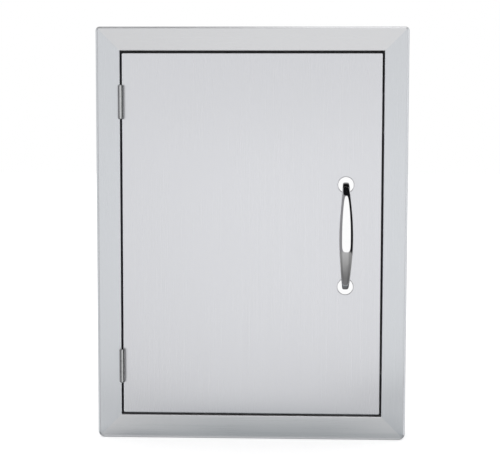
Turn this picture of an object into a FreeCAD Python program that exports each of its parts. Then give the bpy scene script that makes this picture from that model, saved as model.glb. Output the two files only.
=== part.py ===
import FreeCAD, Part
import math
import os

# Access door for an outdoor kitchen island: a brushed stainless frame and a flush, double-lined door.
# Millimetres. The door faces -Y, +Z is up and the latch side is +X.
# The origin is the centre of the island's cut-out, on the island's front face.

# Frame, folded from sheet and mitred at the corners
overall_width = 457.2
overall_height = 609.6
face_projection = 12.7
face_border = 35.5
frame_sheet = 1.2
edge_bend_radius = 4.0
opening_bend_radius = 1.5
top_corner_radius = 6.0
bottom_corner_radius = 10.0
seat_lip_width = 9.0
sleeve_depth = 50.0

# Screw holes in the sleeve, which hold the frame in the island
mount_hole_radius = 2.4
mount_hole_setback = 42.0
side_mount_inset = 69.3
end_mount_inset = 73.1

# Door stop, four mitred angles welded inside the sleeve
stop_sheet = 1.2
stop_reach = 14.0
stop_leg_depth = 25.0

# Door, a folded skin closed by a liner
reveal = 3.0
door_depth = 19.0
skin_sheet = 1.2
skin_edge_radius = 1.2
skin_corner_radius = 1.5
liner_sheet = 1.0
liner_flange_depth = 7.0
liner_clearance = 0.1

# Hat channel that joins the skin and the liner
stiffener_sheet = 1.0
stiffener_crown_width = 30.0
stiffener_flange_width = 12.0
stiffener_end_gap = 26.3
stiffener_offset = -30.0

# Rubber bumpers on the stop
bumper_radius = 4.0
bumper_height = 2.7
bumper_edge_radius = 0.8
bumper_gap = 0.3
bumper_inset = 29.3

# Butt hinges, whose leaves stand in the reveal
hinge_inset = 71.3
barrel_length = 47.0
knuckle_radius = 4.45
knuckle_count = 3
knuckle_play = 0.3
barrel_face_gap = 0.25
barrel_offset = 0.45
pin_radius = 3.2
pin_clearance = 0.05
pin_head_radius = 3.9
pin_head_height = 1.5
pin_head_rounding = 0.9
leaf_thickness = 1.2
leaf_depth = 16.0
leaf_relief = 0.45

# Countersunk screws and nuts that hold the hinge leaves
leaf_screw_radius = 2.0
leaf_screw_head_radius = 3.6
leaf_screw_head_height = 1.6
leaf_screw_spacing = 28.0
leaf_screw_setback = 6.7
leaf_screw_tail = 1.0
nut_radius = 3.9
nut_height = 3.2
nut_sides = 6
fastener_clearance = 0.05

# Handle, a polished bow on two round rosettes
handle_setback = 51.9
handle_centres = 150.0
handle_projection = 38.0
handle_middle_width = 21.3
handle_end_width = 9.6
handle_middle_thickness = 9.0
handle_end_thickness = 7.6
bow_squareness = 2.15
bow_sections = 16
section_middle_squareness = 2.1
section_end_squareness = 3.2
section_points = 28
rosette_radius = 12.3
rosette_thickness = 2.5
rosette_edge_radius = 1.2

# Screws, washers and backing plate behind the handle
handle_screw_radius = 2.0
handle_screw_engagement = 6.0
handle_thread_depth = 7.0
handle_screw_head_radius = 3.8
handle_screw_head_height = 2.6
washer_radius = 5.0
washer_thickness = 1.0
backing_plate_thickness = 1.5
backing_plate_width = 28.0
backing_plate_margin = 15.0

# Plugs that close the screw access holes in the liner
plug_hole_radius = 7.0
plug_flange_radius = 9.0
plug_flange_thickness = 1.2
plug_wall = 1.2
plug_depth = 4.0
plug_clearance = 0.05

# Magnetic catches on the latch side, and the strike plates that they hold
catch_inset = 86.3
catch_length = 56.0
catch_width = 15.0
catch_depth = 18.0
catch_notch_clearance = 1.0
catch_edge_radius = 1.0
pole_thickness = 1.2
pole_length = 36.0
pole_depth = 12.0
pole_spacing = 6.0
pole_stand_out = 0.8
magnet_recess = 1.0
catch_screw_radius = 1.75
catch_screw_head_radius = 3.2
catch_screw_head_height = 1.9
catch_screw_tail = 3.0
catch_screw_inset = 5.0
strike_length = 40.0
strike_width = 11.0
strike_thickness = 1.5
strike_gap = 0.3
rivet_radius = 1.6
rivet_head_radius = 3.0
rivet_head_height = 1.0
rivet_inset = 5.0

# Recess in the heads of the screws
recess_width = 0.9
recess_reach = 1.7
recess_depth = 1.0

# Places worked out from the sizes above
face_y = -face_projection
opening_width = overall_width - 2 * face_border
opening_height = overall_height - 2 * face_border
door_width = opening_width - 2 * reveal
door_height = opening_height - 2 * reveal
skin_back_y = face_y + skin_sheet
door_back_y = face_y + door_depth
liner_front_y = door_back_y - liner_sheet
stop_y = door_back_y + bumper_gap + bumper_height
stop_back_y = stop_y + stop_leg_depth
leaf_x = -(opening_width - reveal) / 2
hinge_x = leaf_x + barrel_offset
hinge_y = face_y - barrel_face_gap - knuckle_radius
leaf_front_y = hinge_y + knuckle_radius + leaf_relief
leaf_back_y = face_y + leaf_depth
hinge_heights = (door_height / 2 - hinge_inset, hinge_inset - door_height / 2)
handle_heights = (handle_centres / 2, -handle_centres / 2)
catch_heights = (door_height / 2 - catch_inset, catch_inset - door_height / 2)
handle_x = door_width / 2 - handle_setback
rosette_y = face_y - rosette_thickness
strike_back_y = door_back_y + strike_thickness
pole_y = strike_back_y + strike_gap
catch_front_y = pole_y + pole_stand_out
catch_wall_x = opening_width / 2 - stop_sheet
catch_middle_x = catch_wall_x - catch_width / 2
catch_screw_spacing = catch_length - 2 * catch_screw_inset
handle_hole_radius = handle_screw_radius + fastener_clearance
mitre_margin = 5.0
mitre_reach = face_border + stop_reach + mitre_margin
same_place = 1e-6

X = FreeCAD.Vector(1, 0, 0)
Y = FreeCAD.Vector(0, 1, 0)
Z = FreeCAD.Vector(0, 0, 1)


def point(x, y, z):
    """A point of the model."""
    return FreeCAD.Vector(x, y, z)


def block(x_range, y_range, z_range):
    """A box between two limits along each axis, given in either order."""
    low = [min(pair) for pair in (x_range, y_range, z_range)]
    size = [abs(pair[1] - pair[0]) for pair in (x_range, y_range, z_range)]
    return Part.makeBox(*size, point(*low))


def centred(width, middle=0.0):
    """The two limits of a width about its middle."""
    return (middle - width / 2, middle + width / 2)


def rod(radius, start, direction, length):
    """A round bar from a start point along a direction."""
    return Part.makeCylinder(radius, length, start, direction)


def place(shape, position, direction):
    """A shape made along +Z at the origin, turned to a direction and moved to a position."""
    placed = shape.copy()
    placed.Placement = FreeCAD.Placement(position, FreeCAD.Rotation(Z, direction))
    return placed


def joined(shapes):
    """Several touching shapes as one solid."""
    whole = shapes[0].multiFuse(shapes[1:]) if len(shapes) > 1 else shapes[0]
    return whole.removeSplitter()


def group(shapes):
    """Separate solids kept together in one node."""
    return Part.makeCompound(shapes)


def rounded_slab(width, height, top_radius, bottom_radius, y_range):
    """A slab that faces along Y, with its own corner radius at the top and at the bottom."""
    slab = block(centred(width), y_range, centred(height))
    for radius, sign in ((top_radius, 1), (bottom_radius, -1)):
        corners = []
        for edge in slab.Edges:
            level = abs(edge.BoundBox.ZMax - edge.BoundBox.ZMin) < same_place
            across = abs(edge.BoundBox.XMax - edge.BoundBox.XMin) < same_place
            if level and across and sign * edge.CenterOfMass.z > 0:
                corners.append(edge)
        slab = slab.makeFillet(radius, corners)
    return slab


def rounded_front(slab, radius):
    """A slab with the edges of its front face rounded."""
    front_y = slab.BoundBox.YMin
    edges = [edge for edge in slab.Edges if abs(edge.BoundBox.YMax - front_y) < same_place]
    return slab.makeFillet(radius, edges)


def mitre_wedge(side):
    """The part of space between two mitre lines, which belongs to one side of the frame."""
    out_x = overall_width / 2 + mitre_margin
    out_z = overall_height / 2 + mitre_margin
    in_x = overall_width / 2 - mitre_reach
    in_z = overall_height / 2 - mitre_reach
    corners = {
        "top": [(-out_x, out_z), (out_x, out_z), (in_x, in_z), (-in_x, in_z)],
        "bottom": [(-out_x, -out_z), (out_x, -out_z), (in_x, -in_z), (-in_x, -in_z)],
        "hinge": [(-out_x, out_z), (-in_x, in_z), (-in_x, -in_z), (-out_x, -out_z)],
        "latch": [(out_x, out_z), (in_x, in_z), (in_x, -in_z), (out_x, -out_z)],
    }[side]
    start_y = face_y - mitre_margin
    outline = [point(x, start_y, z) for x, z in corners]
    outline.append(outline[0])
    face = Part.Face(Part.makePolygon(outline))
    return face.extrude(Y * (sleeve_depth + mitre_margin - start_y))


def opening_bend_cutter(side):
    """What the bend takes off the sharp edge where the face turns back into the sleeve."""
    radius = opening_bend_radius
    y_range = (face_y, face_y + radius)
    if side in ("top", "bottom"):
        sign = 1 if side == "top" else -1
        edge = sign * opening_height / 2
        corner = block(centred(overall_width), y_range, (edge, edge + sign * radius))
        start = point(-overall_width / 2, face_y + radius, edge + sign * radius)
        return corner.cut(rod(radius, start, X, overall_width))
    sign = 1 if side == "latch" else -1
    edge = sign * opening_width / 2
    corner = block((edge, edge + sign * radius), y_range, centred(overall_height))
    start = point(edge + sign * radius, face_y + radius, -overall_height / 2)
    return corner.cut(rod(radius, start, Z, overall_height))


def frame_shell():
    """The whole frame before it is parted at the mitres: return, face and sleeve."""
    cap = rounded_slab(overall_width, overall_height, top_corner_radius, bottom_corner_radius, (face_y, 0))
    cap = rounded_front(cap, edge_bend_radius)
    hollow = rounded_slab(
        overall_width - 2 * frame_sheet,
        overall_height - 2 * frame_sheet,
        top_corner_radius - frame_sheet,
        bottom_corner_radius - frame_sheet,
        (face_y + frame_sheet, -frame_sheet),
    )
    hollow = rounded_front(hollow, edge_bend_radius - frame_sheet)
    rear_window = block(
        centred(overall_width - 2 * seat_lip_width),
        (-frame_sheet, 0),
        centred(overall_height - 2 * seat_lip_width),
    )
    sleeve = block(
        centred(opening_width + 2 * frame_sheet),
        (face_y, sleeve_depth),
        centred(opening_height + 2 * frame_sheet),
    )
    opening = block(centred(opening_width), (face_y, sleeve_depth), centred(opening_height))
    return cap.cut(hollow).cut(rear_window).fuse(sleeve).cut(opening)


def mount_holes():
    """The screw holes through the four walls of the sleeve."""
    holes = []
    for z in centred(opening_height - 2 * side_mount_inset):
        start = point(-overall_width / 2, mount_hole_setback, z)
        holes.append(rod(mount_hole_radius, start, X, overall_width))
    for x in centred(opening_width - 2 * end_mount_inset):
        start = point(x, mount_hole_setback, -overall_height / 2)
        holes.append(rod(mount_hole_radius, start, Z, overall_height))
    return holes


def flat_head_screw(length, clearance=0.0):
    """A countersunk screw along +Z with its head flush at the origin, or the hole for it."""
    shank_radius = leaf_screw_radius + clearance
    head = Part.makeCone(leaf_screw_head_radius + clearance, shank_radius, leaf_screw_head_height)
    return joined([head, rod(shank_radius, point(0, 0, 0), Z, length)])


def recess(depth):
    """The cross recess of a screw head, cut from the origin along +Z."""
    return joined([
        block(centred(2 * recess_reach), centred(recess_width), (0, depth)),
        block(centred(recess_width), centred(2 * recess_reach), (0, depth)),
    ])


def pan_head_screw(radius, length, head_radius, head_height):
    """A pan head screw along +Z, seated at the origin with its head below."""
    head = rod(head_radius, point(0, 0, -head_height), Z, head_height)
    rim = [edge for edge in head.Edges if abs(edge.BoundBox.ZMax + head_height) < same_place]
    head = head.makeFillet(head_height / 2, rim)
    slot = recess(recess_depth)
    slot.translate(point(0, 0, -head_height))
    return joined([head, rod(radius, point(0, 0, 0), Z, length)]).cut(slot)


def hex_nut():
    """A nut along +Z from the origin, bored to pass a leaf screw."""
    corners = []
    for step in range(nut_sides + 1):
        angle = 2 * math.pi * step / nut_sides
        corners.append(point(nut_radius * math.cos(angle), nut_radius * math.sin(angle), 0))
    body = Part.Face(Part.makePolygon(corners)).extrude(Z * nut_height)
    return body.cut(rod(leaf_screw_radius + fastener_clearance, point(0, 0, 0), Z, nut_height))


def leaf_screw_places(toward):
    """Where the screws of the frame's leaves (-1) or the door's leaves (+1) start, flush with the leaf."""
    x = leaf_x + toward * (reveal / 2 - leaf_thickness)
    y = face_y + leaf_screw_setback
    return [point(x, y, z + shift) for z in hinge_heights for shift in centred(leaf_screw_spacing)]


def leaf_wall_sheet(toward):
    """The thickness of the wall that a hinge leaf is screwed to."""
    return frame_sheet if toward < 0 else skin_sheet


def leaf_screws(toward):
    """The four countersunk screws on one side of the hinges."""
    length = leaf_thickness + leaf_wall_sheet(toward) + nut_height + leaf_screw_tail
    screw = flat_head_screw(length)
    return group([place(screw, start, X * toward) for start in leaf_screw_places(toward)])


def leaf_nuts(toward):
    """The four nuts behind the wall that carries the hinge leaves."""
    behind_wall = X * (toward * (leaf_thickness + leaf_wall_sheet(toward)))
    nut = hex_nut()
    return group([place(nut, start + behind_wall, X * toward) for start in leaf_screw_places(toward)])


def leaf_screw_holes(toward):
    """The holes that the leaf screws need in a leaf and in the wall behind it."""
    length = leaf_thickness + leaf_wall_sheet(toward) + leaf_screw_tail
    hole = flat_head_screw(length, fastener_clearance)
    return [place(hole, start, X * toward) for start in leaf_screw_places(toward)]


def knuckle_range(middle_z, index):
    """The lower and upper end of one knuckle of a hinge."""
    length = (barrel_length - (knuckle_count - 1) * knuckle_play) / knuckle_count
    low = middle_z - barrel_length / 2 + index * (length + knuckle_play)
    return (low, low + length)


def hinge_leaf(middle_z, toward):
    """One leaf with its knuckles: the frame's (-1) has the outer knuckles, the door's (+1) the others."""
    wall_x = leaf_x + toward * reveal / 2
    inner_x = wall_x - toward * leaf_thickness
    pieces = [block((inner_x, wall_x), (leaf_front_y, leaf_back_y), centred(barrel_length, middle_z))]
    first = 0 if toward < 0 else 1
    for index in range(first, knuckle_count, 2):
        low, high = knuckle_range(middle_z, index)
        pieces.append(rod(knuckle_radius, point(hinge_x, hinge_y, low), Z, high - low))
        pieces.append(block((inner_x, wall_x), (hinge_y, leaf_front_y), (low, high)))
    leaf = joined(pieces)
    bore_start = point(hinge_x, hinge_y, middle_z - barrel_length / 2)
    leaf = leaf.cut(rod(pin_radius + pin_clearance, bore_start, Z, barrel_length))
    return leaf.cut(leaf_screw_holes(toward))


def hinge_pin(middle_z):
    """The hinge pin, with a rounded head at each end of the barrel."""
    low = middle_z - barrel_length / 2
    high = middle_z + barrel_length / 2
    shank = rod(pin_radius, point(hinge_x, hinge_y, low), Z, barrel_length)
    top = rod(pin_head_radius, point(hinge_x, hinge_y, high), Z, pin_head_height)
    rim = [edge for edge in top.Edges if edge.BoundBox.ZMin > high + pin_head_height / 2]
    top = top.makeFillet(pin_head_rounding, rim)
    bottom = top.mirror(point(0, 0, middle_z), Z)
    return joined([bottom, shank, top])


def frame_member(side):
    """One mitred member of the frame, with its screw holes."""
    member = frame_shell().common(mitre_wedge(side))
    member = member.cut(opening_bend_cutter(side))
    member = member.cut(mount_holes())
    if side == "hinge":
        member = member.cut(leaf_screw_holes(-1))
    if side == "latch":
        member = member.cut(catch_screw_holes())
    return member


def stop_member(side):
    """One mitred angle of the door stop, notched on the latch side for the catches."""
    outer = block(centred(opening_width), (stop_y, stop_back_y), centred(opening_height))
    behind = block(
        centred(opening_width - 2 * stop_sheet),
        (stop_y + stop_sheet, stop_back_y),
        centred(opening_height - 2 * stop_sheet),
    )
    window = block(
        centred(opening_width - 2 * stop_reach),
        (stop_y, stop_back_y),
        centred(opening_height - 2 * stop_reach),
    )
    member = outer.cut(behind).cut(window).common(mitre_wedge(side))
    if side != "latch":
        return member
    notch_width = catch_length + 2 * catch_notch_clearance
    for z in catch_heights:
        notch = block((0, catch_wall_x), (stop_y, stop_y + stop_sheet), centred(notch_width, z))
        member = member.cut(notch)
    return member.cut(catch_screw_holes())


def bumpers():
    """Four rubber bumpers on the front of the stop, near the door's corners."""
    seat_x = (opening_width - stop_reach) / 2
    button = rod(bumper_radius, point(0, 0, 0), Z, bumper_height)
    rim = [edge for edge in button.Edges if edge.BoundBox.ZMin > bumper_height / 2]
    button = button.makeFillet(bumper_edge_radius, rim)
    levels = centred(opening_height - 2 * bumper_inset)
    places = [point(x, stop_y, z) for x in (-seat_x, seat_x) for z in levels]
    return group([place(button, spot, -Y) for spot in places])


def catch_screw_places():
    """Where the screws of the catches start, on the catch's inner side."""
    y = catch_front_y + catch_depth / 2
    x = catch_wall_x - catch_width
    return [point(x, y, level) for z in catch_heights for level in centred(catch_screw_spacing, z)]


def catch_screw_length():
    """The length of a catch screw below its head."""
    return catch_width + stop_sheet + frame_sheet + catch_screw_tail


def catch_screws():
    """The four screws that hold the catches to the stop and the sleeve."""
    length = catch_screw_length()
    screw = pan_head_screw(catch_screw_radius, length, catch_screw_head_radius, catch_screw_head_height)
    return group([place(screw, start, X) for start in catch_screw_places()])


def catch_screw_holes():
    """The holes that the catch screws need."""
    radius = catch_screw_radius + fastener_clearance
    return [rod(radius, start, X, catch_screw_length()) for start in catch_screw_places()]


def catch_core(middle_z, clearance=0.0):
    """The space that a catch's magnet and poles fill together."""
    width = pole_spacing + 2 * pole_thickness + 2 * clearance
    return block(
        centred(width, catch_middle_x),
        (pole_y, pole_y + pole_depth + clearance),
        centred(pole_length + 2 * clearance, middle_z),
    )


def catch_housing(middle_z):
    """The housing of a magnetic catch, with a pocket for its magnet and poles."""
    body = block(
        centred(catch_width, catch_middle_x),
        (catch_front_y, catch_front_y + catch_depth),
        centred(catch_length, middle_z),
    )
    inner_x = catch_wall_x - catch_width
    outline = [edge for edge in body.Edges if abs(edge.BoundBox.XMax - inner_x) < same_place]
    body = body.makeFillet(catch_edge_radius, outline)
    return body.cut(catch_core(middle_z, fastener_clearance)).cut(catch_screw_holes())


def catch_magnet(middle_z):
    """The magnet block between the two poles."""
    return block(
        centred(pole_spacing, catch_middle_x),
        (pole_y + magnet_recess, pole_y + pole_depth),
        centred(pole_length, middle_z),
    )


def catch_poles(middle_z):
    """The two steel pole plates, which stand out of the housing to meet the strike."""
    plates = []
    for sign in (-1, 1):
        near = catch_middle_x + sign * pole_spacing / 2
        x_range = (near, near + sign * pole_thickness)
        plates.append(block(x_range, (pole_y, pole_y + pole_depth), centred(pole_length, middle_z)))
    return group(plates)


def strike_rivet_places():
    """Where the rivets of the strike plates stand, on the back of the strikes."""
    spacing = strike_length - 2 * rivet_inset
    levels = [level for z in catch_heights for level in centred(spacing, z)]
    return [point(catch_middle_x, strike_back_y, level) for level in levels]


def strike_rivet_holes():
    """The rivet holes through a strike and the liner behind it."""
    radius = rivet_radius + fastener_clearance
    return [rod(radius, start, -Y, strike_thickness + liner_sheet) for start in strike_rivet_places()]


def strike_rivets():
    """Four rivets, flush with the strike and set inside the door."""
    rivets = []
    for start in strike_rivet_places():
        shank = rod(rivet_radius, start, -Y, strike_thickness + liner_sheet)
        head_start = start - Y * (strike_thickness + liner_sheet)
        rivets.append(joined([shank, rod(rivet_head_radius, head_start, -Y, rivet_head_height)]))
    return group(rivets)


def strike_plate(middle_z):
    """One strike plate on the back of the liner."""
    plate = block(
        centred(strike_width, catch_middle_x),
        (door_back_y, strike_back_y),
        centred(strike_length, middle_z),
    )
    return plate.cut(strike_rivet_holes())


def handle_holes(radius, start_y, length):
    """Two holes on the axes of the handle's screws."""
    return [rod(radius, point(handle_x, start_y, z), Y, length) for z in handle_heights]


def door_skin():
    """The folded front of the door, open at the back."""
    y_range = (face_y, door_back_y)
    skin = rounded_slab(door_width, door_height, skin_corner_radius, skin_corner_radius, y_range)
    skin = rounded_front(skin, skin_edge_radius)
    inside = block(
        centred(door_width - 2 * skin_sheet),
        (skin_back_y, door_back_y),
        centred(door_height - 2 * skin_sheet),
    )
    skin = skin.cut(inside)
    skin = skin.cut(leaf_screw_holes(1))
    return skin.cut(handle_holes(handle_hole_radius, face_y, skin_sheet))


def door_liner():
    """The pan that closes the back of the door, nested inside the skin's walls."""
    width = door_width - 2 * skin_sheet - 2 * liner_clearance
    height = door_height - 2 * skin_sheet - 2 * liner_clearance
    pan = block(centred(width), (door_back_y - liner_flange_depth, door_back_y), centred(height))
    inside = block(
        centred(width - 2 * liner_sheet),
        (door_back_y - liner_flange_depth, liner_front_y),
        centred(height - 2 * liner_sheet),
    )
    pan = pan.cut(inside)
    pan = pan.cut(handle_holes(plug_hole_radius, liner_front_y, liner_sheet))
    return pan.cut(strike_rivet_holes())


def door_stiffener():
    """A hat channel: its crown on the skin, its flanges on the liner."""
    z_range = centred(door_height - 2 * stiffener_end_gap)
    hat = block(centred(stiffener_crown_width, stiffener_offset), (skin_back_y, liner_front_y), z_range)
    inside_width = stiffener_crown_width - 2 * stiffener_sheet
    inside_y = (skin_back_y + stiffener_sheet, liner_front_y)
    inside = block(centred(inside_width, stiffener_offset), inside_y, z_range)
    flange_span = stiffener_crown_width + 2 * stiffener_flange_width
    flange_y = (liner_front_y - stiffener_sheet, liner_front_y)
    flanges = block(centred(flange_span, stiffener_offset), flange_y, z_range)
    return hat.fuse(flanges).cut(inside).removeSplitter()


def handle_backing_plate():
    """The plate that spreads the handle's pull over the skin."""
    length = handle_centres + 2 * backing_plate_margin
    plate_back_y = skin_back_y + backing_plate_thickness
    plate = block(centred(backing_plate_width, handle_x), (skin_back_y, plate_back_y), centred(length))
    return plate.cut(handle_holes(handle_hole_radius, skin_back_y, backing_plate_thickness))


def handle_washers():
    """The washers under the heads of the handle's screws."""
    start_y = skin_back_y + backing_plate_thickness
    discs = handle_holes(washer_radius, start_y, washer_thickness)
    bores = handle_holes(handle_hole_radius, start_y, washer_thickness)
    return group([disc.cut(bores) for disc in discs])


def handle_screws():
    """The two screws that draw the handle onto the door from inside."""
    seat_y = skin_back_y + backing_plate_thickness + washer_thickness
    length = seat_y - rosette_y + handle_screw_engagement
    screw = pan_head_screw(handle_screw_radius, length, handle_screw_head_radius, handle_screw_head_height)
    return group([place(screw, point(handle_x, seat_y, z), -Y) for z in handle_heights])


def handle_rosette(middle_z):
    """One round rosette between the handle's foot and the door."""
    disc = rod(rosette_radius, point(handle_x, face_y, middle_z), -Y, rosette_thickness)
    rim = [edge for edge in disc.Edges if abs(edge.BoundBox.YMax - rosette_y) < same_place]
    disc = disc.makeFillet(rosette_edge_radius, rim)
    return disc.cut(handle_holes(handle_hole_radius, rosette_y, rosette_thickness))


def signed_power(value, power):
    """A number raised to a power with its sign kept."""
    return math.copysign(abs(value) ** power, value)


def between(end, middle, share):
    """A value that goes from its end's to its middle's by a share."""
    return end + (middle - end) * share


def bow_section(angle):
    """The handle's section at an angle along its bow, from 0 at the top foot to 180 at the bottom foot.

    The centre line is a superellipse that leaves both rosettes square to the door. The section is
    another, square to the centre line: widest, thickest and roundest in the middle of the bow.
    """
    half_height = handle_centres / 2
    rise = handle_projection - rosette_thickness - handle_middle_thickness / 2
    power = 2 / bow_squareness
    up_share = signed_power(math.cos(math.radians(angle)), power)
    out_share = max(math.sin(math.radians(angle)), 0.0) ** power
    centre = point(handle_x, rosette_y - rise * out_share, half_height * up_share)
    up_slope = signed_power(up_share, bow_squareness - 1) / half_height
    out_slope = out_share ** (bow_squareness - 1) / rise
    outward = point(0, -out_slope, up_slope).normalize()
    swell = math.cos(math.pi / 2 * up_share)
    half_width = between(handle_end_width, handle_middle_width, swell) / 2
    half_thickness = between(handle_end_thickness, handle_middle_thickness, swell) / 2
    section_power = 2 / between(section_end_squareness, section_middle_squareness, swell)
    outline = []
    for step in range(section_points):
        turn = 2 * math.pi * step / section_points
        sideways = half_width * signed_power(math.cos(turn), section_power)
        forwards = half_thickness * signed_power(math.sin(turn), section_power)
        outline.append(centre + X * sideways + outward * forwards)
    curve = Part.BSplineCurve()
    curve.interpolate(outline, PeriodicFlag=True)
    return Part.Wire([curve.toShape()])


def handle_bow():
    """The bow handle, with a threaded hole in each foot."""
    wires = [bow_section(180 * step / bow_sections) for step in range(bow_sections + 1)]
    bow = Part.makeLoft(wires, True, False)
    thread_start_y = rosette_y - handle_thread_depth
    return bow.cut(handle_holes(handle_hole_radius, thread_start_y, handle_thread_depth))


def liner_plugs():
    """The plugs in the liner behind the handle's screws."""
    plugs = []
    stem_radius = plug_hole_radius - plug_clearance
    stem_start = door_back_y - plug_depth
    for z in handle_heights:
        flange = rod(plug_flange_radius, point(handle_x, door_back_y, z), Y, plug_flange_thickness)
        stem = rod(stem_radius, point(handle_x, stem_start, z), Y, plug_depth)
        bore = rod(stem_radius - plug_wall, point(handle_x, stem_start, z), Y, plug_depth)
        plugs.append(joined([flange, stem.cut(bore)]))
    return group(plugs)


def build():
    """Every sub-part by its node name."""
    nodes = {
        "frame_top_rail": frame_member("top"),
        "frame_bottom_rail": frame_member("bottom"),
        "frame_hinge_stile": frame_member("hinge"),
        "frame_latch_stile": frame_member("latch"),
        "stop_top_angle": stop_member("top"),
        "stop_bottom_angle": stop_member("bottom"),
        "stop_hinge_angle": stop_member("hinge"),
        "stop_latch_angle": stop_member("latch"),
        "stop_bumpers": bumpers(),
        "frame_hinge_screws": leaf_screws(-1),
        "frame_hinge_nuts": leaf_nuts(-1),
        "catch_screws": catch_screws(),
        "door_skin": door_skin(),
        "door_liner": door_liner(),
        "door_stiffener": door_stiffener(),
        "door_hinge_screws": leaf_screws(1),
        "door_hinge_nuts": leaf_nuts(1),
        "handle_bow": handle_bow(),
        "handle_backing_plate": handle_backing_plate(),
        "handle_screws": handle_screws(),
        "handle_washers": handle_washers(),
        "liner_plugs": liner_plugs(),
        "strike_rivets": strike_rivets(),
    }
    for index, level in enumerate(("upper", "lower")):
        nodes[level + "_hinge_frame_leaf"] = hinge_leaf(hinge_heights[index], -1)
        nodes[level + "_hinge_door_leaf"] = hinge_leaf(hinge_heights[index], 1)
        nodes[level + "_hinge_pin"] = hinge_pin(hinge_heights[index])
        nodes[level + "_catch_housing"] = catch_housing(catch_heights[index])
        nodes[level + "_catch_magnet"] = catch_magnet(catch_heights[index])
        nodes[level + "_catch_poles"] = catch_poles(catch_heights[index])
        nodes[level + "_strike_plate"] = strike_plate(catch_heights[index])
        nodes[level + "_rosette"] = handle_rosette(handle_heights[index])
    return nodes


os.makedirs("parts", exist_ok=True)
for name, shape in build().items():
    shape.exportStep("parts/" + name + ".step")
    print(name, "solids", len(shape.Solids), "volume", round(shape.Volume, 1), "valid", shape.isValid())
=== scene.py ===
"""Looks for the outdoor kitchen access door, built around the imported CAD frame.

Lengths are in metres, and the studio's directions in degrees. The door faces -Y, with its hinges
toward -X.
"""

import math

import bmesh
import bpy
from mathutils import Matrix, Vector


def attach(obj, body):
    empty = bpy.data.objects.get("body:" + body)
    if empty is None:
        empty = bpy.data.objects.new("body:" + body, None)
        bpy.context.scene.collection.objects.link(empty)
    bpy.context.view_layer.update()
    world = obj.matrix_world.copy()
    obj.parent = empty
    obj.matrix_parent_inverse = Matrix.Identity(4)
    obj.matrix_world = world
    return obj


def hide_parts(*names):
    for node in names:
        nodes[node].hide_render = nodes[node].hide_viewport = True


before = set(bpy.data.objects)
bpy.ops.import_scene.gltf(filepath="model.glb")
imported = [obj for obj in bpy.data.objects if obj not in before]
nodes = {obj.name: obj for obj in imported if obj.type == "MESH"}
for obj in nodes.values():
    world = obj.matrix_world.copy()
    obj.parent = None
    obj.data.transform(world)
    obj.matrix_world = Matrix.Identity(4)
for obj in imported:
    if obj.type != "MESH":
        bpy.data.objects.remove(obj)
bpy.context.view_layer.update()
scene = bpy.context.scene

# The photograph's camera, fitted to the corners of the frame and of the reveal
CAMERA_PLACE = Vector((0.07998, -2.06466, 0.19122))
CAMERA_AIM = Vector((-0.00205, -0.0127, 0.00421))
CAMERA_ROLL = math.radians(0.110)
CAMERA_LENS = 100.95
SENSOR_WIDTH = 36.0

# Places shared with the CAD
FLOOR_Z = -0.3048
ROSETTE_Y = -0.0152
HINGE_Y = -0.0174
DOOR_BACK_Y = 0.0063
SLEEVE_HALF_WIDTH = 0.1943
SLEEVE_HALF_HEIGHT = 0.2705

# The bow handle, shared with the CAD too: its bow is a superellipse, and so is its section
HANDLE_X = 0.1382
HANDLE_HALF = 0.075
HANDLE_RISE = 0.031
HANDLE_MIDDLE_WIDTH = 0.0213
HANDLE_END_WIDTH = 0.0096
HANDLE_MIDDLE_THICKNESS = 0.009
HANDLE_END_THICKNESS = 0.0076
HANDLE_SQUARENESS = 2.15
SECTION_MIDDLE_SQUARENESS = 2.1
SECTION_END_SQUARENESS = 3.2
BOW_STEPS = 120
BOW_POINTS = 72

# Spot welds: where their rows run, their spacing and size, and how many a row has on each side
# of its middle one
STOP_WELD_Y = 0.022
STIFFENER_WELDS = (-0.051, -0.009)
WELD_PITCH = 0.07
WELD_RADIUS = 0.0022
SHORT_ROW = 2
LONG_ROW = 3
# Each ring of a spot weld: its share of the radius, and its height over the sheet
SPOT_PROFILE = ((1.0, -0.0001), (1.0, 0.00003), (0.93, 0.00014), (0.80, 0.00018),
                (0.62, 0.00012), (0.40, 0.00005), (0.15, 0.00004))
SPOT_POINTS = 24

# The beads up the sleeve's corners: their reach in y, their ripples, their section, and their tips
BEAD_START = 0.0014
BEAD_END = 0.0490
BEAD_RIPPLE = 0.0014
RIPPLE_STEPS = 5
BEAD_POINTS = 14
BEAD_RADIUS = 0.0010
BEAD_SWELL = 0.00014
BEAD_SINK = 0.0004
BEAD_LEAN = 0.0006
BEAD_TIP = 0.4
BEAD_TAPER = 0.3


# Camera

def make_camera():
    """The camera at the photograph's viewing angle."""
    data = bpy.data.cameras.new("camera")
    data.lens = CAMERA_LENS
    data.sensor_width = SENSOR_WIDTH
    camera = bpy.data.objects.new("camera", data)
    scene.collection.objects.link(camera)
    forward = (CAMERA_AIM - CAMERA_PLACE).normalized()
    camera.matrix_world = forward.to_track_quat("-Z", "Y").to_matrix().to_4x4()
    camera.location = CAMERA_PLACE
    camera.rotation_euler.rotate_axis("Z", CAMERA_ROLL)
    scene.camera = camera


# Node graphs

# The levels of a fade that goes up, and of one that goes down
RISE = (0.0, 1.0)
FALL = (1.0, 0.0)
# Where nearly all of a noise's values lie
NOISE_SPAN = (0.3, 0.7)


def evenly(value):
    """One value for all three axes or colours."""
    return (value, value, value)


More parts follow.
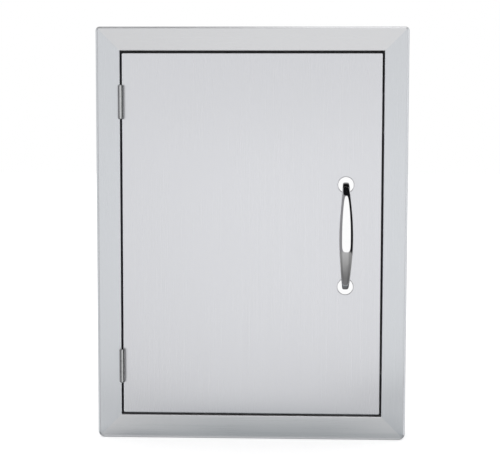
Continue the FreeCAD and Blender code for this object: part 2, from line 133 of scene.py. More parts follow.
class Graph:
    """A node tree with short calls for its nodes and links."""

    def __init__(self, owner):
        owner.use_nodes = True
        self.tree = owner.node_tree
        self.tree.nodes.clear()

    def node(self, kind, inputs=None, **settings):
        """Adds a node, sets its properties, and sets or links its inputs."""
        made = self.tree.nodes.new(kind)
        for name, value in settings.items():
            setattr(made, name, value)
        for name, value in (inputs or {}).items():
            self.put(made.inputs[name], value)
        return made

    def put(self, socket, value):
        """Sets a socket to a value, or links it to another node's output."""
        if isinstance(value, bpy.types.NodeSocket):
            self.tree.links.new(value, socket)
        else:
            socket.default_value = value

    def math(self, operation, *values):
        """A math node's result."""
        return self.node("ShaderNodeMath", dict(enumerate(values)), operation=operation).outputs[0]

    def total(self, first, *others):
        """The sum of two or more values."""
        for value in others:
            first = self.math("ADD", first, value)
        return first

    def product(self, first, *others):
        """Two or more values multiplied."""
        for value in others:
            first = self.math("MULTIPLY", first, value)
        return first

    def distance(self, value, middle):
        """How far a value is from a middle, either way."""
        return self.math("ABSOLUTE", self.math("SUBTRACT", value, middle))

    def tint(self, colour, share):
        """A colour multiplied by a share or by another colour."""
        made = self.node("ShaderNodeVectorMath", {0: colour, 1: share}, operation="MULTIPLY")
        return made.outputs[0]

    def ramp(self, value, stops):
        """A ramp over (place, grey level) stops."""
        made = self.node("ShaderNodeValToRGB", {"Fac": value})
        elements = made.color_ramp.elements
        while len(elements) < len(stops):
            elements.new(0.5)
        for element, (place, level) in zip(elements, stops):
            element.position = place
            element.color = (*evenly(level), 1.0)
        return made.outputs["Color"]

    def remap(self, value, span, levels, kind="LINEAR"):
        """A value moved from a span to two levels and held between them."""
        return self.node("ShaderNodeMapRange", {
            "Value": value, "From Min": span[0], "From Max": span[1],
            "To Min": levels[0], "To Max": levels[1],
        }, interpolation_type=kind).outputs["Result"]

    def fade(self, value, span, levels=RISE):
        """The same with a soft start and end."""
        return self.remap(value, span, levels, "SMOOTHSTEP")

    def mix(self, share, first, second):
        """Two colours mixed by a share."""
        made = self.node("ShaderNodeMix", data_type="RGBA")
        for index, value in ((0, share), (6, first), (7, second)):
            self.put(made.inputs[index], (*value, 1.0) if isinstance(value, tuple) else value)
        return made.outputs[2]

    def axes(self):
        """The object coordinates as three values."""
        where = self.node("ShaderNodeTexCoord").outputs["Object"]
        return self.node("ShaderNodeSeparateXYZ", {"Vector": where}).outputs

    def noise(self, scale, detail, roughness, seed=0.0):
        """A noise over the object coordinates, with a scale per axis in features per metre."""
        where = self.node("ShaderNodeTexCoord").outputs["Object"]
        place = self.node("ShaderNodeMapping", {
            "Vector": where, "Scale": scale, "Location": evenly(seed),
        })
        return self.node("ShaderNodeTexNoise", {
            "Vector": place.outputs["Vector"], "Scale": 1.0, "Detail": detail,
            "Roughness": roughness,
        }).outputs["Fac"]

    def sway(self, noise, reach):
        """A noise as a value that goes up and down by a reach."""
        return self.remap(noise, NOISE_SPAN, (-reach, reach))

    def surface(self, shader):
        """Puts a shader on the material's surface."""
        self.node("ShaderNodeOutputMaterial", {"Surface": shader.outputs[0]})


# Materials

# Brushed sheet: features per metre along and across the grain, and per axis of the broad cloud
FINE_GRAIN = (9.0, 5200.0)
STREAK_GRAIN = (1.6, 520.0)
CLOUD_SCALES = (9.0, 9.0, 7.0)
STREAK_SEED = 3.1
CLOUD_SEED = 7.7
# How far the fine grain, the streaks and the cloud move the tone and the roughness
FINE_TONE = 0.016
STREAK_TONE = 0.004
CLOUD_TONE = 0.008
FINE_ROUGHNESS = 0.03
STREAK_ROUGHNESS = 0.01
CLOUD_ROUGHNESS = 0.01
GRAIN_DEPTH = 0.00006

# The frame's side bends, as distances from its middle; painted shade darkens the right a third as
# much
BEND_INNER = (0.2242, 0.2256)
BEND_OUTER = (0.2262, 0.2277)
BEND_SIDES = (-0.1, 0.1)
BEND_RIGHT_SHARE = 1 / 3

# The heat tint about a spot weld, out to a multiple of its radius
TINT_REACH = 2.4
TINT_STRENGTH = 0.55
TINT_COLOUR = (0.86, 0.76, 0.64)

# Plain metals, plastics and rubber: how much wider the broad mottle is than the fine one
MOTTLE_RATIO = 30
MOTTLE_SEED = 4.0
MOTTLE_DEPTH = 0.00005

# Painted shade: where the hinges and the bow's feet darken, and to which share of their colour
HINGE_SHADE_SPAN = (HINGE_Y - 0.0032, HINGE_Y - 0.0012)
HINGE_SHADE_LEVEL = 0.35
FOOT_SHADE_SPAN = (ROSETTE_Y - 0.0170, ROSETTE_Y - 0.0110)
FOOT_SHADE_LEVEL = 0.45
TOP_FOOT_SPAN = (HANDLE_HALF - 0.0046, HANDLE_HALF - 0.0024)
TOP_FOOT_LEVEL = 0.32
LOW_FOOT_SPAN = (0.0032 - HANDLE_HALF, 0.0048 - HANDLE_HALF)
LOW_FOOT_LEVEL = 0.66


def stretched(axis, grain):
    """The scales of a grain that runs along one axis."""
    along, across = grain
    return tuple(along if name == axis else across for name in "xyz")


def heat_tint(graph, rows):
    """The share of heat tint about each spot weld, for rows of them along an axis."""
    axes = dict(zip("xyz", graph.axes()))
    nearest = None
    for run, cross, place in rows:
        along = graph.math("PINGPONG", axes[run], WELD_PITCH / 2)
        aside = graph.math("SUBTRACT", axes[cross], place)
        square = graph.total(graph.product(along, along), graph.product(aside, aside))
        reach = graph.math("SQRT", square)
        nearest = reach if nearest is None else graph.math("MINIMUM", nearest, reach)
    return graph.fade(nearest, (WELD_RADIUS, TINT_REACH * WELD_RADIUS), (TINT_STRENGTH, 0.0))


def bend_shade(graph, painted_bend_shade):
    """The share of colour that painted shade leaves on the frame's side bends, least on the left
    one.
    """
    x = graph.axes()[0]
    aside = graph.math("ABSOLUTE", x)
    lost = graph.product(graph.fade(aside, BEND_INNER), graph.fade(aside, BEND_OUTER, FALL),
                         graph.remap(x, BEND_SIDES, (painted_bend_shade, painted_bend_shade * BEND_RIGHT_SHARE)))
    return graph.math("SUBTRACT", 1.0, lost)


def brushed_steel(name, axis, colour, seed, roughness=0.30, anisotropy=0.65, bump=0.35,
                  painted_bend_shade=0.0, welds=()):
    """Brushed stainless sheet with its grain along an axis.

    The side bends are darkened by a share of painted shade, and welds are rows of spot welds with
    a heat tint.
    """
    material = bpy.data.materials.new(name)
    graph = Graph(material)
    fine = graph.noise(stretched(axis, FINE_GRAIN), detail=2.0, roughness=0.6, seed=seed)
    streak = graph.noise(stretched(axis, STREAK_GRAIN), detail=2.0, roughness=0.55,
                         seed=seed + STREAK_SEED)
    cloud = graph.noise(CLOUD_SCALES, detail=2.0, roughness=0.5, seed=seed + CLOUD_SEED)
    tone = graph.total(graph.sway(streak, STREAK_TONE), graph.sway(fine, FINE_TONE),
                       graph.sway(cloud, CLOUD_TONE), 1.0)
    # Painted shade darkens the frame's side bends
    if painted_bend_shade:
        tone = graph.product(tone, bend_shade(graph, painted_bend_shade))
    base = graph.tint(colour, tone)
    if welds:
        base = graph.tint(base, graph.mix(heat_tint(graph, welds), evenly(1.0), TINT_COLOUR))
    rough = graph.total(graph.sway(fine, FINE_ROUGHNESS), graph.sway(streak, STREAK_ROUGHNESS),
                        graph.sway(cloud, CLOUD_ROUGHNESS), roughness)
    relief = graph.node("ShaderNodeBump", {
        "Strength": bump, "Distance": GRAIN_DEPTH, "Height": fine,
    })
    tangent = graph.node("ShaderNodeTangent", direction_type="RADIAL", axis=axis.upper())
    graph.surface(graph.node("ShaderNodeBsdfPrincipled", {
        "Base Color": base, "Metallic": 1.0, "Roughness": rough, "Anisotropic": anisotropy,
        "Tangent": tangent.outputs[0], "Normal": relief.outputs["Normal"],
    }))
    return material


def hinge_painted_shade(graph):
    """The share of colour that painted shade leaves on a hinge, less toward the sheet behind it.
    """
    return graph.fade(graph.axes()[1], HINGE_SHADE_SPAN, (1.0, HINGE_SHADE_LEVEL))


def bow_painted_shade(graph):
    """The share of colour that painted shade leaves on the bow: less at its feet, least at the top
    one.
    """
    _, y, z = graph.axes()
    return graph.product(graph.fade(y, FOOT_SHADE_SPAN, (1.0, FOOT_SHADE_LEVEL)),
                         graph.remap(z, TOP_FOOT_SPAN, (1.0, TOP_FOOT_LEVEL)),
                         graph.remap(z, LOW_FOOT_SPAN, (LOW_FOOT_LEVEL, 1.0)))


def plain_metal(name, colour, roughness, spread, scale, bump, metallic=1.0, painted_shade=None):
    """A metal, plastic or rubber with an even mottle in its roughness, colour and relief.

    The mottle has a spread and a scale, and a painted shade gives the share of colour that the
    piece keeps.
    """
    material = bpy.data.materials.new(name)
    graph = Graph(material)
    fine = graph.noise(evenly(scale), detail=4.0, roughness=0.6)
    broad = graph.noise(evenly(scale / MOTTLE_RATIO), detail=2.0, roughness=0.5, seed=MOTTLE_SEED)
    tone = graph.total(graph.sway(fine, spread / 2), graph.sway(broad, spread / 2))
    base = graph.tint(colour, graph.total(tone, 1.0))
    # Painted shade, for the pieces that have it
    if painted_shade:
        base = graph.tint(base, painted_shade(graph))
    relief = graph.node("ShaderNodeBump", {
        "Strength": bump, "Distance": MOTTLE_DEPTH, "Height": fine,
    })
    graph.surface(graph.node("ShaderNodeBsdfPrincipled", {
        "Base Color": base, "Metallic": metallic, "Roughness": graph.total(tone, roughness),
        "Normal": relief.outputs["Normal"],
    }))
    return material


def dress(names, material):
    """Gives nodes a material in every slot."""
    for name in names:
        for slot in nodes[name].material_slots:
            slot.material = material


# Brushed sheet, after its name: the grain's axis, the colour and the noise's seed
door_steel = brushed_steel("door_steel_vertical", "z", (0.625, 0.631, 0.655), 1.3)
rail_steel = brushed_steel("frame_steel_horizontal", "x", (0.648, 0.652, 0.664), 5.2,
                           welds=[("x", "y", STOP_WELD_Y)])
stile_steel = brushed_steel("frame_steel_vertical", "z", (0.588, 0.605, 0.628), 9.4,
                            painted_bend_shade=0.26, welds=[("z", "y", STOP_WELD_Y)])
inner_steel = brushed_steel("inner_steel_mill", "z", (0.585, 0.595, 0.605), 3.7,
                            roughness=0.38, anisotropy=0.35, bump=0.2,
                            welds=[("z", "x", place) for place in STIFFENER_WELDS])

# The others, after their name: colour, roughness, the mottle's spread and scale, and relief
MIRROR = ((0.94, 0.94, 0.945), 0.035, 0.02, 60.0, 0.02)
chrome = plain_metal("polished_metal_mirror", *MIRROR)
# The bow and the hinges get painted shade: at the bow's feet, and toward the sheet behind the
# hinges
bow_chrome = plain_metal("polished_bow_mirror", *MIRROR, painted_shade=bow_painted_shade)
hinge_steel = plain_metal("hinge_steel_satin", (0.48, 0.485, 0.49), 0.22, 0.06, 2500.0, 0.1,
                          painted_shade=hinge_painted_shade)
weld_metal = plain_metal("weld_bead_steel", (0.50, 0.49, 0.475), 0.30, 0.12, 700.0, 0.3)
plated = plain_metal("plated_hardware_zinc", (0.62, 0.62, 0.63), 0.30, 0.10, 1800.0, 0.1)
strike_zinc = plain_metal("strike_plate_zinc", (0.40, 0.41, 0.42), 0.36, 0.16, 900.0, 0.2)
stop_coat = plain_metal("stop_coat_black", (0.060, 0.060, 0.063), 0.55, 0.12, 1600.0, 0.3,
                        metallic=0.0)
housing_plastic = plain_metal("catch_plastic_grey", (0.52, 0.52, 0.50), 0.45, 0.06, 2500.0, 0.25,
                              metallic=0.0)
plug_plastic = plain_metal("plug_plastic_black", (0.012, 0.012, 0.013), 0.42, 0.10, 2500.0, 0.25,
                           metallic=0.0)
ferrite = plain_metal("magnet_ferrite", (0.014, 0.013, 0.012), 0.5, 0.15, 3000.0, 0.3,
                      metallic=0.0)
rubber = plain_metal("bumper_rubber_black", (0.008, 0.008, 0.008), 0.6, 0.15, 3000.0, 0.3,
                     metallic=0.0)

STOP_ANGLES = ("stop_top_angle", "stop_bottom_angle", "stop_hinge_angle", "stop_latch_angle")
STRIKES = ("upper_strike_plate", "lower_strike_plate")
HINGE_NUTS = ("frame_hinge_nuts", "door_hinge_nuts")
HINGE_SCREWS = ("frame_hinge_screws", "door_hinge_screws")
CATCH_POLES = ("upper_catch_poles", "lower_catch_poles")
CATCH_HOUSINGS = ("upper_catch_housing", "lower_catch_housing")
ROSETTES = ("upper_rosette", "lower_rosette")
HINGES = [level + part for level in ("upper", "lower")
          for part in ("_hinge_frame_leaf", "_hinge_door_leaf", "_hinge_pin")]

dress(["frame_top_rail", "frame_bottom_rail"], rail_steel)
dress(["frame_hinge_stile", "frame_latch_stile"], stile_steel)
dress(["door_skin"], door_steel)
dress(["door_liner", "door_stiffener", "handle_backing_plate"], inner_steel)
dress(STOP_ANGLES, stop_coat)
dress(HINGES, hinge_steel)
dress(ROSETTES, chrome)
dress([*HINGE_SCREWS, *HINGE_NUTS, *CATCH_POLES, "catch_screws", "handle_screws",
       "handle_washers", "strike_rivets"], plated)
dress(STRIKES, strike_zinc)
dress(CATCH_HOUSINGS, housing_plastic)
dress(["liner_plugs"], plug_plastic)
dress(["upper_catch_magnet", "lower_catch_magnet"], ferrite)
dress(["stop_bumpers"], rubber)


# Pieces

MERGE_DISTANCE = 0.000001
SHARP_ANGLE = math.radians(50)


def soften_edges(names, width):
    """Rounds the sharp edges of small hardware, as stamping and tumbling leave them."""
    for name in names:
        weld = nodes[name].modifiers.new("weld", "WELD")
        weld.merge_threshold = MERGE_DISTANCE
        bevel = nodes[name].modifiers.new("bevel", "BEVEL")
        bevel.width = width
        bevel.segments = 2
        bevel.limit_method = "ANGLE"
        bevel.angle_limit = SHARP_ANGLE
        bevel.harden_normals = True


soften_edges([*STRIKES, *HINGE_NUTS], width=0.00025)
soften_edges(CATCH_POLES, width=0.00012)
soften_edges(CATCH_HOUSINGS, width=0.0003)
soften_edges(STOP_ANGLES, width=0.00015)


def turns(count):
    """The angles of a ring's points."""
    return [2 * math.pi * index / count for index in range(count)]


def loft(mesh, rings):
    """A closed skin over rings of points, with a flat face at each end."""
    rings = [[mesh.verts.new(place) for place in ring] for ring in rings]
    for first, second in zip(rings, rings[1:]):
        for index in range(len(first)):
            after = (index + 1) % len(first)
            mesh.faces.new((first[index], first[after], second[after], second[index]))
    mesh.faces.new(rings[0])
    mesh.faces.new(list(reversed(rings[-1])))


def add_piece(name, mesh, material, body):
    """A finished mesh as a smooth piece that rides a body of the part."""
    bmesh.ops.recalc_face_normals(mesh, faces=mesh.faces)
    data = bpy.data.meshes.new(name)
    mesh.to_mesh(data)
    mesh.free()
    # The many-sided faces at the ends stay flat
    data.polygons.foreach_set("use_smooth", [len(face.vertices) == 4 for face in data.polygons])
    data.materials.append(material)
    piece = bpy.data.objects.new(name, data)
    scene.collection.objects.link(piece)
    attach(piece, body)
    return piece


# Handle

def signed_power(value, power):
    """A number raised to a power with its sign kept."""
    return math.copysign(abs(value) ** power, value)


def between(end, middle, share):
    """A value that goes from its end's to its middle's by a share."""
    return end + (middle - end) * share


def bow_ring(angle):
    """The points of the handle's section at an angle along its bow.

    The angle goes from 0 at the top foot to pi at the other.
    """
    power = 2 / HANDLE_SQUARENESS
    up_share = signed_power(math.cos(angle), power)
    out_share = max(math.sin(angle), 0.0) ** power
    centre = Vector((HANDLE_X, ROSETTE_Y - HANDLE_RISE * out_share, HANDLE_HALF * up_share))
    up_slope = signed_power(up_share, HANDLE_SQUARENESS - 1) / HANDLE_HALF
    out_slope = out_share ** (HANDLE_SQUARENESS - 1) / HANDLE_RISE
    outward = Vector((0, -out_slope, up_slope)).normalized()
    swell = math.cos(math.pi / 2 * up_share)
    half_width = between(HANDLE_END_WIDTH, HANDLE_MIDDLE_WIDTH, swell) / 2
    half_thickness = between(HANDLE_END_THICKNESS, HANDLE_MIDDLE_THICKNESS, swell) / 2
    section_power = 2 / between(SECTION_END_SQUARENESS, SECTION_MIDDLE_SQUARENESS, swell)
    ring = []
    for turn in turns(BOW_POINTS):
        sideways = half_width * signed_power(math.cos(turn), section_power)
        forwards = half_thickness * signed_power(math.sin(turn), section_power)
        ring.append(centre + Vector((sideways, 0, 0)) + outward * forwards)
    return ring


def make_handle():
    """The bow handle as one smooth polished form."""
    mesh = bmesh.new()
    loft(mesh, [bow_ring(math.pi * step / BOW_STEPS) for step in range(BOW_STEPS + 1)])
    handle = add_piece("bow_handle", mesh, bow_chrome, "door")
    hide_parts("handle_bow")
    # The photo's brushed door hardly shows the handle's reflection, so the door is without it
    handle.visible_glossy = False


# Welds

def bead_rings(x_sign, z_sign):
    """The rings of one rippled bead, up an outer corner of the sleeve."""
    outward = Vector((x_sign, 0, z_sign)).normalized()
    side = Vector((-outward.z, 0, outward.x))
    corner = Vector((x_sign * SLEEVE_HALF_WIDTH, 0, z_sign * SLEEVE_HALF_HEIGHT))
    centre = corner - outward * BEAD_SINK
    count = round((BEAD_END - BEAD_START) / BEAD_RIPPLE) * RIPPLE_STEPS
    rings = []
    for step in range(count + 1):
        swell = BEAD_RADIUS + BEAD_SWELL * abs(math.sin(math.pi * step / RIPPLE_STEPS))
        radius = swell * min(1.0, BEAD_TIP + BEAD_TAPER * min(step, count - step))
        depth = BEAD_START + (BEAD_END - BEAD_START) * step / count
        ring = []
        for turn in turns(BEAD_POINTS):
            lean = Vector((0, depth + BEAD_LEAN * (math.cos(turn) - 1), 0))
            ring.append(centre + outward * (radius * math.cos(turn))
                        + side * (radius * math.sin(turn)) + lean)
        rings.append(ring)
    return rings


def make_corner_welds():
    """The rippled weld up each outer corner of the sleeve, where two mitred members meet."""
    mesh = bmesh.new()
    for x_sign in (-1, 1):
        for z_sign in (-1, 1):
            loft(mesh, bead_rings(x_sign, z_sign))
    add_piece("corner_welds", mesh, weld_metal, "frame")


def spot_rings(place, outward):
    """The rings of one spot weld: its foot in the sheet, its raised rim and its pressed middle."""
    side = outward.orthogonal().normalized()
    up = outward.cross(side)
    rings = []
    for share, rise in SPOT_PROFILE:
        rings.append([place + (side * math.cos(turn) + up * math.sin(turn)) * (share * WELD_RADIUS)
                      + outward * rise for turn in turns(SPOT_POINTS)])
    return rings


def along_row(reach):
    """The places of a row's welds, with as many on both sides of the middle one."""
    return [index * WELD_PITCH for index in range(-reach, reach + 1)]


def make_sleeve_spot_welds():
    """The spot welds of the stop's legs in the sleeve."""
    mesh = bmesh.new()
    for sign in (-1, 1):
        for x in along_row(SHORT_ROW):
            place = Vector((x, STOP_WELD_Y, sign * SLEEVE_HALF_HEIGHT))
            loft(mesh, spot_rings(place, Vector((0, 0, sign))))
        for z in along_row(LONG_ROW):
            place = Vector((sign * SLEEVE_HALF_WIDTH, STOP_WELD_Y, z))
            loft(mesh, spot_rings(place, Vector((sign, 0, 0))))
    add_piece("sleeve_spot_welds", mesh, weld_metal, "frame")


def make_liner_spot_welds():
    """The spot welds of the stiffener's flanges in the liner."""
    mesh = bmesh.new()
    for x in STIFFENER_WELDS:
        for z in along_row(LONG_ROW):
            loft(mesh, spot_rings(Vector((x, DOOR_BACK_Y, z)), Vector((0, 1, 0))))
    add_piece("liner_spot_welds", mesh, weld_metal, "door")


make_handle()
make_corner_welds()
make_sleeve_spot_welds()
make_liner_spot_welds()


# World, by azimuth from straight ahead and by elevation

DEGREES = 180 / math.pi
LOWEST = -90.0
HIGHEST = 90.0
# The studio's floor: its grey level by elevation, and how it darkens beside its brightest part
GROUND_STOPS = ((-90, 0.15), (-60, 0.17), (-45, 0.24), (-30, 0.36), (-18, 0.46), (0, 0.46))
GROUND_MIDDLE = -4.0
GROUND_SIDES = (14.0, 34.0)
GROUND_SIDE_LEVEL = 0.62
GROUND_TOP = (-17.5, -14.5)
# The bright window: arched at the top, rounded at the bottom, and a little to the right
WINDOW_MIDDLE = 4.0
WINDOW_HALF_WIDTH = 32.0
WINDOW_SPRING = -6.0
WINDOW_ARCH = 57.0
WINDOW_SILL = -8.0
WINDOW_DROP = 9.2
WINDOW_POWERS = (2.0, 1.8, 3.5)
WINDOW_EDGE = (0.94, 1.06)
WINDOW_COLOUR = (1.05, 1.05, 1.05)
# Around it: dark on the right, grey on the left and nearly black above
LEFT_EDGE = (-4.0, 4.0)
RIGHT_COLOUR = (0.012, 0.012, 0.014)
LEFT_COLOUR = (0.262, 0.260, 0.272)
CEILING_EDGE = (50.0, 54.0)
CEILING_COLOUR = (0.006, 0.006, 0.007)
# The half of the studio behind the object
BACK_EDGE = (88.0, 110.0)
BACK_COLOUR = (0.64, 0.64, 0.64)
BACK_CEILING_COLOUR = (0.04, 0.04, 0.04)
# What lights the matt pieces, and what stands behind the object in the picture
EVEN_LIGHT = (0.9, 0.9, 0.9)
BACKDROP = (1.0, 1.0, 1.0)


def ground_shade(graph, azimuth, elevation):
    """The studio's floor, brightest about straight ahead."""
    stops = [((angle - LOWEST) / (HIGHEST - LOWEST), level) for angle, level in GROUND_STOPS]
    ground = graph.ramp(graph.remap(elevation, (LOWEST, HIGHEST), RISE), stops)
    aside = graph.distance(azimuth, GROUND_MIDDLE)
    return graph.tint(ground, graph.fade(aside, GROUND_SIDES, (1.0, GROUND_SIDE_LEVEL)))


def window_reach(graph, azimuth, elevation):
    """A value that is 1 on the bright window's edge and less inside it."""
    aside = graph.math("SUBTRACT", azimuth, WINDOW_MIDDLE)
    above = graph.math("SUBTRACT", elevation, WINDOW_SPRING)
    below = graph.math("SUBTRACT", WINDOW_SILL, elevation)
    parts = (graph.math("ABSOLUTE", graph.math("DIVIDE", aside, WINDOW_HALF_WIDTH)),
             graph.math("MAXIMUM", graph.math("DIVIDE", above, WINDOW_ARCH), 0.0),
             graph.math("MAXIMUM", graph.math("DIVIDE", below, WINDOW_DROP), 0.0))
    return graph.total(*[graph.math("POWER", part, power)
                         for part, power in zip(parts, WINDOW_POWERS)])


def make_world():
    """White behind the object, even light on it, and bright and dark parts in the metal."""
    world = bpy.data.worlds.new("studio")
    scene.world = world
    graph = Graph(world)
    direction = graph.node("ShaderNodeTexCoord").outputs["Generated"]
    x, y, z = graph.node("ShaderNodeSeparateXYZ", {"Vector": direction}).outputs
    azimuth = graph.product(graph.math("ARCTAN2", x, graph.product(y, -1.0)), DEGREES)
    elevation = graph.product(graph.math("ARCSINE", z), DEGREES)
    ceiling = graph.fade(elevation, CEILING_EDGE)
    shade = graph.mix(graph.fade(azimuth, LEFT_EDGE, FALL), RIGHT_COLOUR, LEFT_COLOUR)
    shade = graph.mix(ceiling, shade, CEILING_COLOUR)
    shade = graph.mix(graph.fade(elevation, GROUND_TOP, FALL), shade,
                      ground_shade(graph, azimuth, elevation))
    window = graph.fade(window_reach(graph, azimuth, elevation), WINDOW_EDGE, FALL)
    shade = graph.mix(window, shade, WINDOW_COLOUR)
    back = graph.fade(graph.math("ABSOLUTE", azimuth), BACK_EDGE)
    shade = graph.mix(back, shade, graph.mix(ceiling, BACK_COLOUR, BACK_CEILING_COLOUR))
    light = graph.node("ShaderNodeLightPath")
    colour = graph.mix(light.outputs["Is Glossy Ray"], EVEN_LIGHT, shade)
    colour = graph.mix(light.outputs["Is Camera Ray"], colour, BACKDROP)
    background = graph.node("ShaderNodeBackground", {"Color": colour, "Strength": 1.0})
    graph.node("ShaderNodeOutputWorld", {"Surface": background.outputs[0]})


# Floor

FLOOR_CORNERS = ((-8, -8), (8, -8), (8, 8), (-8, 8))
FLOOR_COLOUR = (0.80, 0.80, 0.80, 1.0)
# How much brighter the picture shows the floor, so that it ends in the white backdrop
FLOOR_LIFT = 0.42

# The dark stretch of floor in the reflections. It is a sheet just over the floor, it widens away
# from the object, and its spans are of y before the object or of x across it.
SHADE_CORNERS = ((-0.5, -0.5), (0.5, -0.5), (0.5, 0.06), (-0.5, 0.06))
SHADE_HEIGHT = 0.0005
SHADE_MIDDLE = 0.035
SHADE_WIDENING = 0.45
SHADE_SIDE = (0.02, 0.27)
SHADE_LEVEL = 0.91
SHADE_FAR = (-0.36, -0.02)
# Close to the object it is as wide as the object
CLOSE_SPAN = (-0.11, -0.03)
CLOSE_LEVEL = 0.88
CLOSE_SIDE = (0.218, 0.240)
# A little darker again beside the lower corners, more to the right
FLANK_FAR = (-0.50, -0.36)
FLANK_NEAR = (-0.29, -0.20)
FLANK_SIDE = (0.12, 0.21)
FLANK_ACROSS = (-0.2, 0.2)
FLANK_LEVELS = (0.14, 0.38)
# Lighter in the stretch that the door's foot shows, more to the right
FOOT_FAR = (-0.34, -0.23)
FOOT_NEAR = (-0.18, -0.09)
FOOT_ACROSS = (0.10, 0.24)
FOOT_LEVELS = (0.21, 0.50)
# Lighter too before the frame's two lower corners
CORNER_FAR = (-0.20, -0.10)
LEFT_CORNER = (-0.24, -0.17)
LEFT_CORNER_LEVEL = 0.5
RIGHT_CORNER = (0.16, 0.23)
RIGHT_CORNER_LEVEL = 0.36
RIGHT_CORNER_NEAR = (-0.11, -0.03)
# The strip at the object's foot
STRIP_SPAN = (-0.026, -0.017)
STRIP_COLOUR = (0.46, 0.47, 0.48)
# The rest is bluish in what is close to it, and neutral in the handle, which is further off
SHADE_COLOUR = (0.115, 0.150, 0.170)
HIGH_COLOUR = (0.20, 0.20, 0.205)
HIGH_SPAN = (0.18, 0.24)


def make_sheet(name, corners, height, material):
    """A flat sheet of the studio, at a height."""
    mesh = bmesh.new()
    mesh.faces.new([mesh.verts.new((x, y, height)) for x, y in corners])
    data = bpy.data.meshes.new(name)
    mesh.to_mesh(data)
    mesh.free()
    data.materials.append(material)
    sheet = bpy.data.objects.new(name, data)
    scene.collection.objects.link(sheet)
    return sheet


def make_floor():
    """A pale floor that keeps the object's shadow."""
    material = bpy.data.materials.new("floor_pale")
    graph = Graph(material)
    matt = graph.node("ShaderNodeBsdfDiffuse", {"Color": FLOOR_COLOUR})
    light = graph.node("ShaderNodeLightPath")
    lift = graph.product(light.outputs["Is Camera Ray"], FLOOR_LIFT)
    glow = graph.node("ShaderNodeEmission", {"Color": (1, 1, 1, 1), "Strength": lift})
    graph.surface(graph.node("ShaderNodeAddShader", {0: matt.outputs[0], 1: glow.outputs[0]}))
    floor = make_sheet("floor", FLOOR_CORNERS, FLOOR_Z, material)
    floor.visible_glossy = False


def flank_cover(graph, x, y):
    """How much more the dark stretch hides beside the lower corners."""
    return graph.product(graph.fade(y, FLANK_FAR), graph.fade(y, FLANK_NEAR, FALL),
                         graph.fade(graph.math("ABSOLUTE", x), FLANK_SIDE),
                         graph.remap(x, FLANK_ACROSS, FLANK_LEVELS))


def eased_share(graph, x, y):
    """The share by which the dark stretch is lighter before the door's foot and the corners."""
    foot = graph.product(graph.fade(y, FOOT_FAR), graph.fade(y, FOOT_NEAR, FALL),
                         graph.remap(x, FOOT_ACROSS, FOOT_LEVELS))
    before = graph.fade(y, CORNER_FAR)
    left = graph.product(before, graph.fade(x, LEFT_CORNER, (LEFT_CORNER_LEVEL, 0.0)))
    right = graph.product(before, graph.fade(x, RIGHT_CORNER, (0.0, RIGHT_CORNER_LEVEL)),
                          graph.fade(y, RIGHT_CORNER_NEAR, FALL))
    return graph.math("MAXIMUM", foot, graph.math("MAXIMUM", left, right))


def shade_cover(graph, x, y):
    """How much the dark stretch hides of what lies beyond it."""
    aside = graph.total(graph.distance(x, SHADE_MIDDLE), graph.product(y, SHADE_WIDENING))
    cover = graph.product(graph.fade(aside, SHADE_SIDE, (SHADE_LEVEL, 0.0)),
                          graph.fade(y, SHADE_FAR))
    close = graph.product(graph.fade(y, CLOSE_SPAN, (0.0, CLOSE_LEVEL)),
                          graph.fade(graph.math("ABSOLUTE", x), CLOSE_SIDE, FALL))
    cover = graph.total(graph.math("MAXIMUM", cover, close), flank_cover(graph, x, y))
    return graph.product(cover, graph.math("SUBTRACT", 1.0, eased_share(graph, x, y)))


def make_floor_shade():
    """The darker stretch of floor in front of the object, which only its reflections show."""
    material = bpy.data.materials.new("floor_shade")
    graph = Graph(material)
    x, y, _ = graph.axes()
    strip = graph.fade(y, STRIP_SPAN)
    cover = graph.math("MAXIMUM", shade_cover(graph, x, y), strip)
    light = graph.node("ShaderNodeLightPath")
    high = graph.remap(light.outputs["Ray Length"], HIGH_SPAN, RISE)
    colour = graph.mix(strip, graph.mix(high, SHADE_COLOUR, HIGH_COLOUR), STRIP_COLOUR)
    dark = graph.node("ShaderNodeEmission", {"Color": colour, "Strength": 1.0})
    clear = graph.node("ShaderNodeBsdfTransparent")
    graph.surface(graph.node("ShaderNodeMixShader", {
        0: cover, 1: clear.outputs[0], 2: dark.outputs[0],
    }))
    patch = make_sheet("floor_shade", SHADE_CORNERS, FLOOR_Z + SHADE_HEIGHT, material)
    patch.visible_camera = False
    patch.visible_diffuse = False
    patch.visible_shadow = False


# Lamps

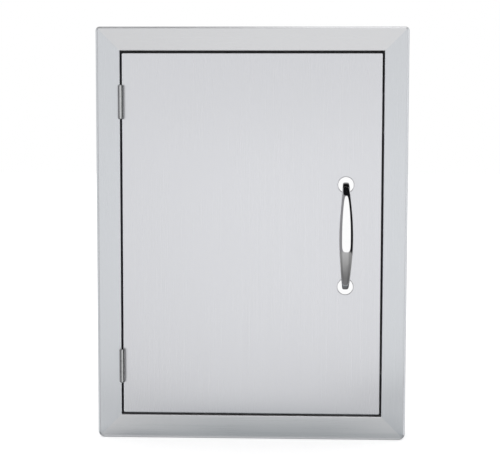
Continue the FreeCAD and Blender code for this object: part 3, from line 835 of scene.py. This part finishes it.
# Each lamp: its name, its place, its side's length, its level, and the only group that it lights
LAMPS = (
    ("key", (-1.4, -2.6, 2.2), 1.8, 1.0, None),
    ("glow", (0.05, -1.6, -0.20), 0.7, 0.22, "brushed_sheet"),
    ("left", (-4.0, -0.6, 0.3), 5.0, 0.6, "brushed_sheet"),
    ("right", (4.0, -0.6, 0.3), 5.0, 0.85, "brushed_sheet"),
    ("edge", (0.20, -0.12, 0.75), 0.5, 0.8, "folded_frame"),
    ("glint", (-1.5, -2.2, 0.2), 0.7, 0.9, "hinge_barrels"),
    ("glint_right", (2.2, -1.5, 0.2), 0.8, 0.35, "hinge_barrels"),
    ("left_front", (-3.4, -2.3, -0.2), 3.2, 0.72, "brushed_sheet"),
    ("right_front", (3.4, -2.3, 0.2), 3.2, 0.68, "brushed_sheet"),
    ("top", (0.0, 0.6, 4.0), 4.0, 0.8, "folded_frame"),
    ("top_right", (2.8, -0.5, 2.8), 2.0, 0.9, "folded_frame"),
    ("top_left", (-2.8, -0.5, 2.8), 2.0, 0.5, "folded_frame"),
    ("back", (0.0, 4.0, 0.6), 4.0, 0.5, "folded_frame"),
    ("below", (0.0, -2.4, -3.8), 3.2, 0.38, "brushed_sheet"),
)


def make_groups():
    """The groups of nodes that lamps are for.

    They are all but the hinges, rosettes and bow, the same without the door skin, and the hinges.
    """
    brushed = bpy.data.collections.new("brushed_sheet")
    folded = bpy.data.collections.new("folded_frame")
    barrels = bpy.data.collections.new("hinge_barrels")
    for name, piece in nodes.items():
        if name in HINGES:
            barrels.objects.link(piece)
        elif name not in ("handle_bow", *ROSETTES):
            brushed.objects.link(piece)
            if name != "door_skin":
                folded.objects.link(piece)
    return {group.name: group for group in (brushed, folded, barrels)}


def make_lamp(name, place, size, level, only):
    """A soft square lamp that faces the object, for all pieces or only a group of them."""
    data = bpy.data.lights.new(name, "AREA")
    data.shape = "SQUARE"
    data.size = size
    data.energy = level * math.pi * size * size
    lamp = bpy.data.objects.new(name, data)
    scene.collection.objects.link(lamp)
    lamp.location = place
    lamp.rotation_euler = (-Vector(place)).to_track_quat("-Z", "Y").to_euler()
    lamp.visible_camera = False
    if only is None:
        lamp.visible_glossy = False
    else:
        lamp.light_linking.receiver_collection = only
        lamp.light_linking.blocker_collection = only


def make_lamps():
    """A key for the shadow, and broad lamps that keep the brushed sheet bright all round."""
    groups = make_groups()
    for name, place, size, level, group in LAMPS:
        make_lamp(name, place, size, level, groups.get(group))


make_camera()
make_world()
make_floor()
make_floor_shade()
make_lamps()
scene.view_settings.view_transform = "Standard"
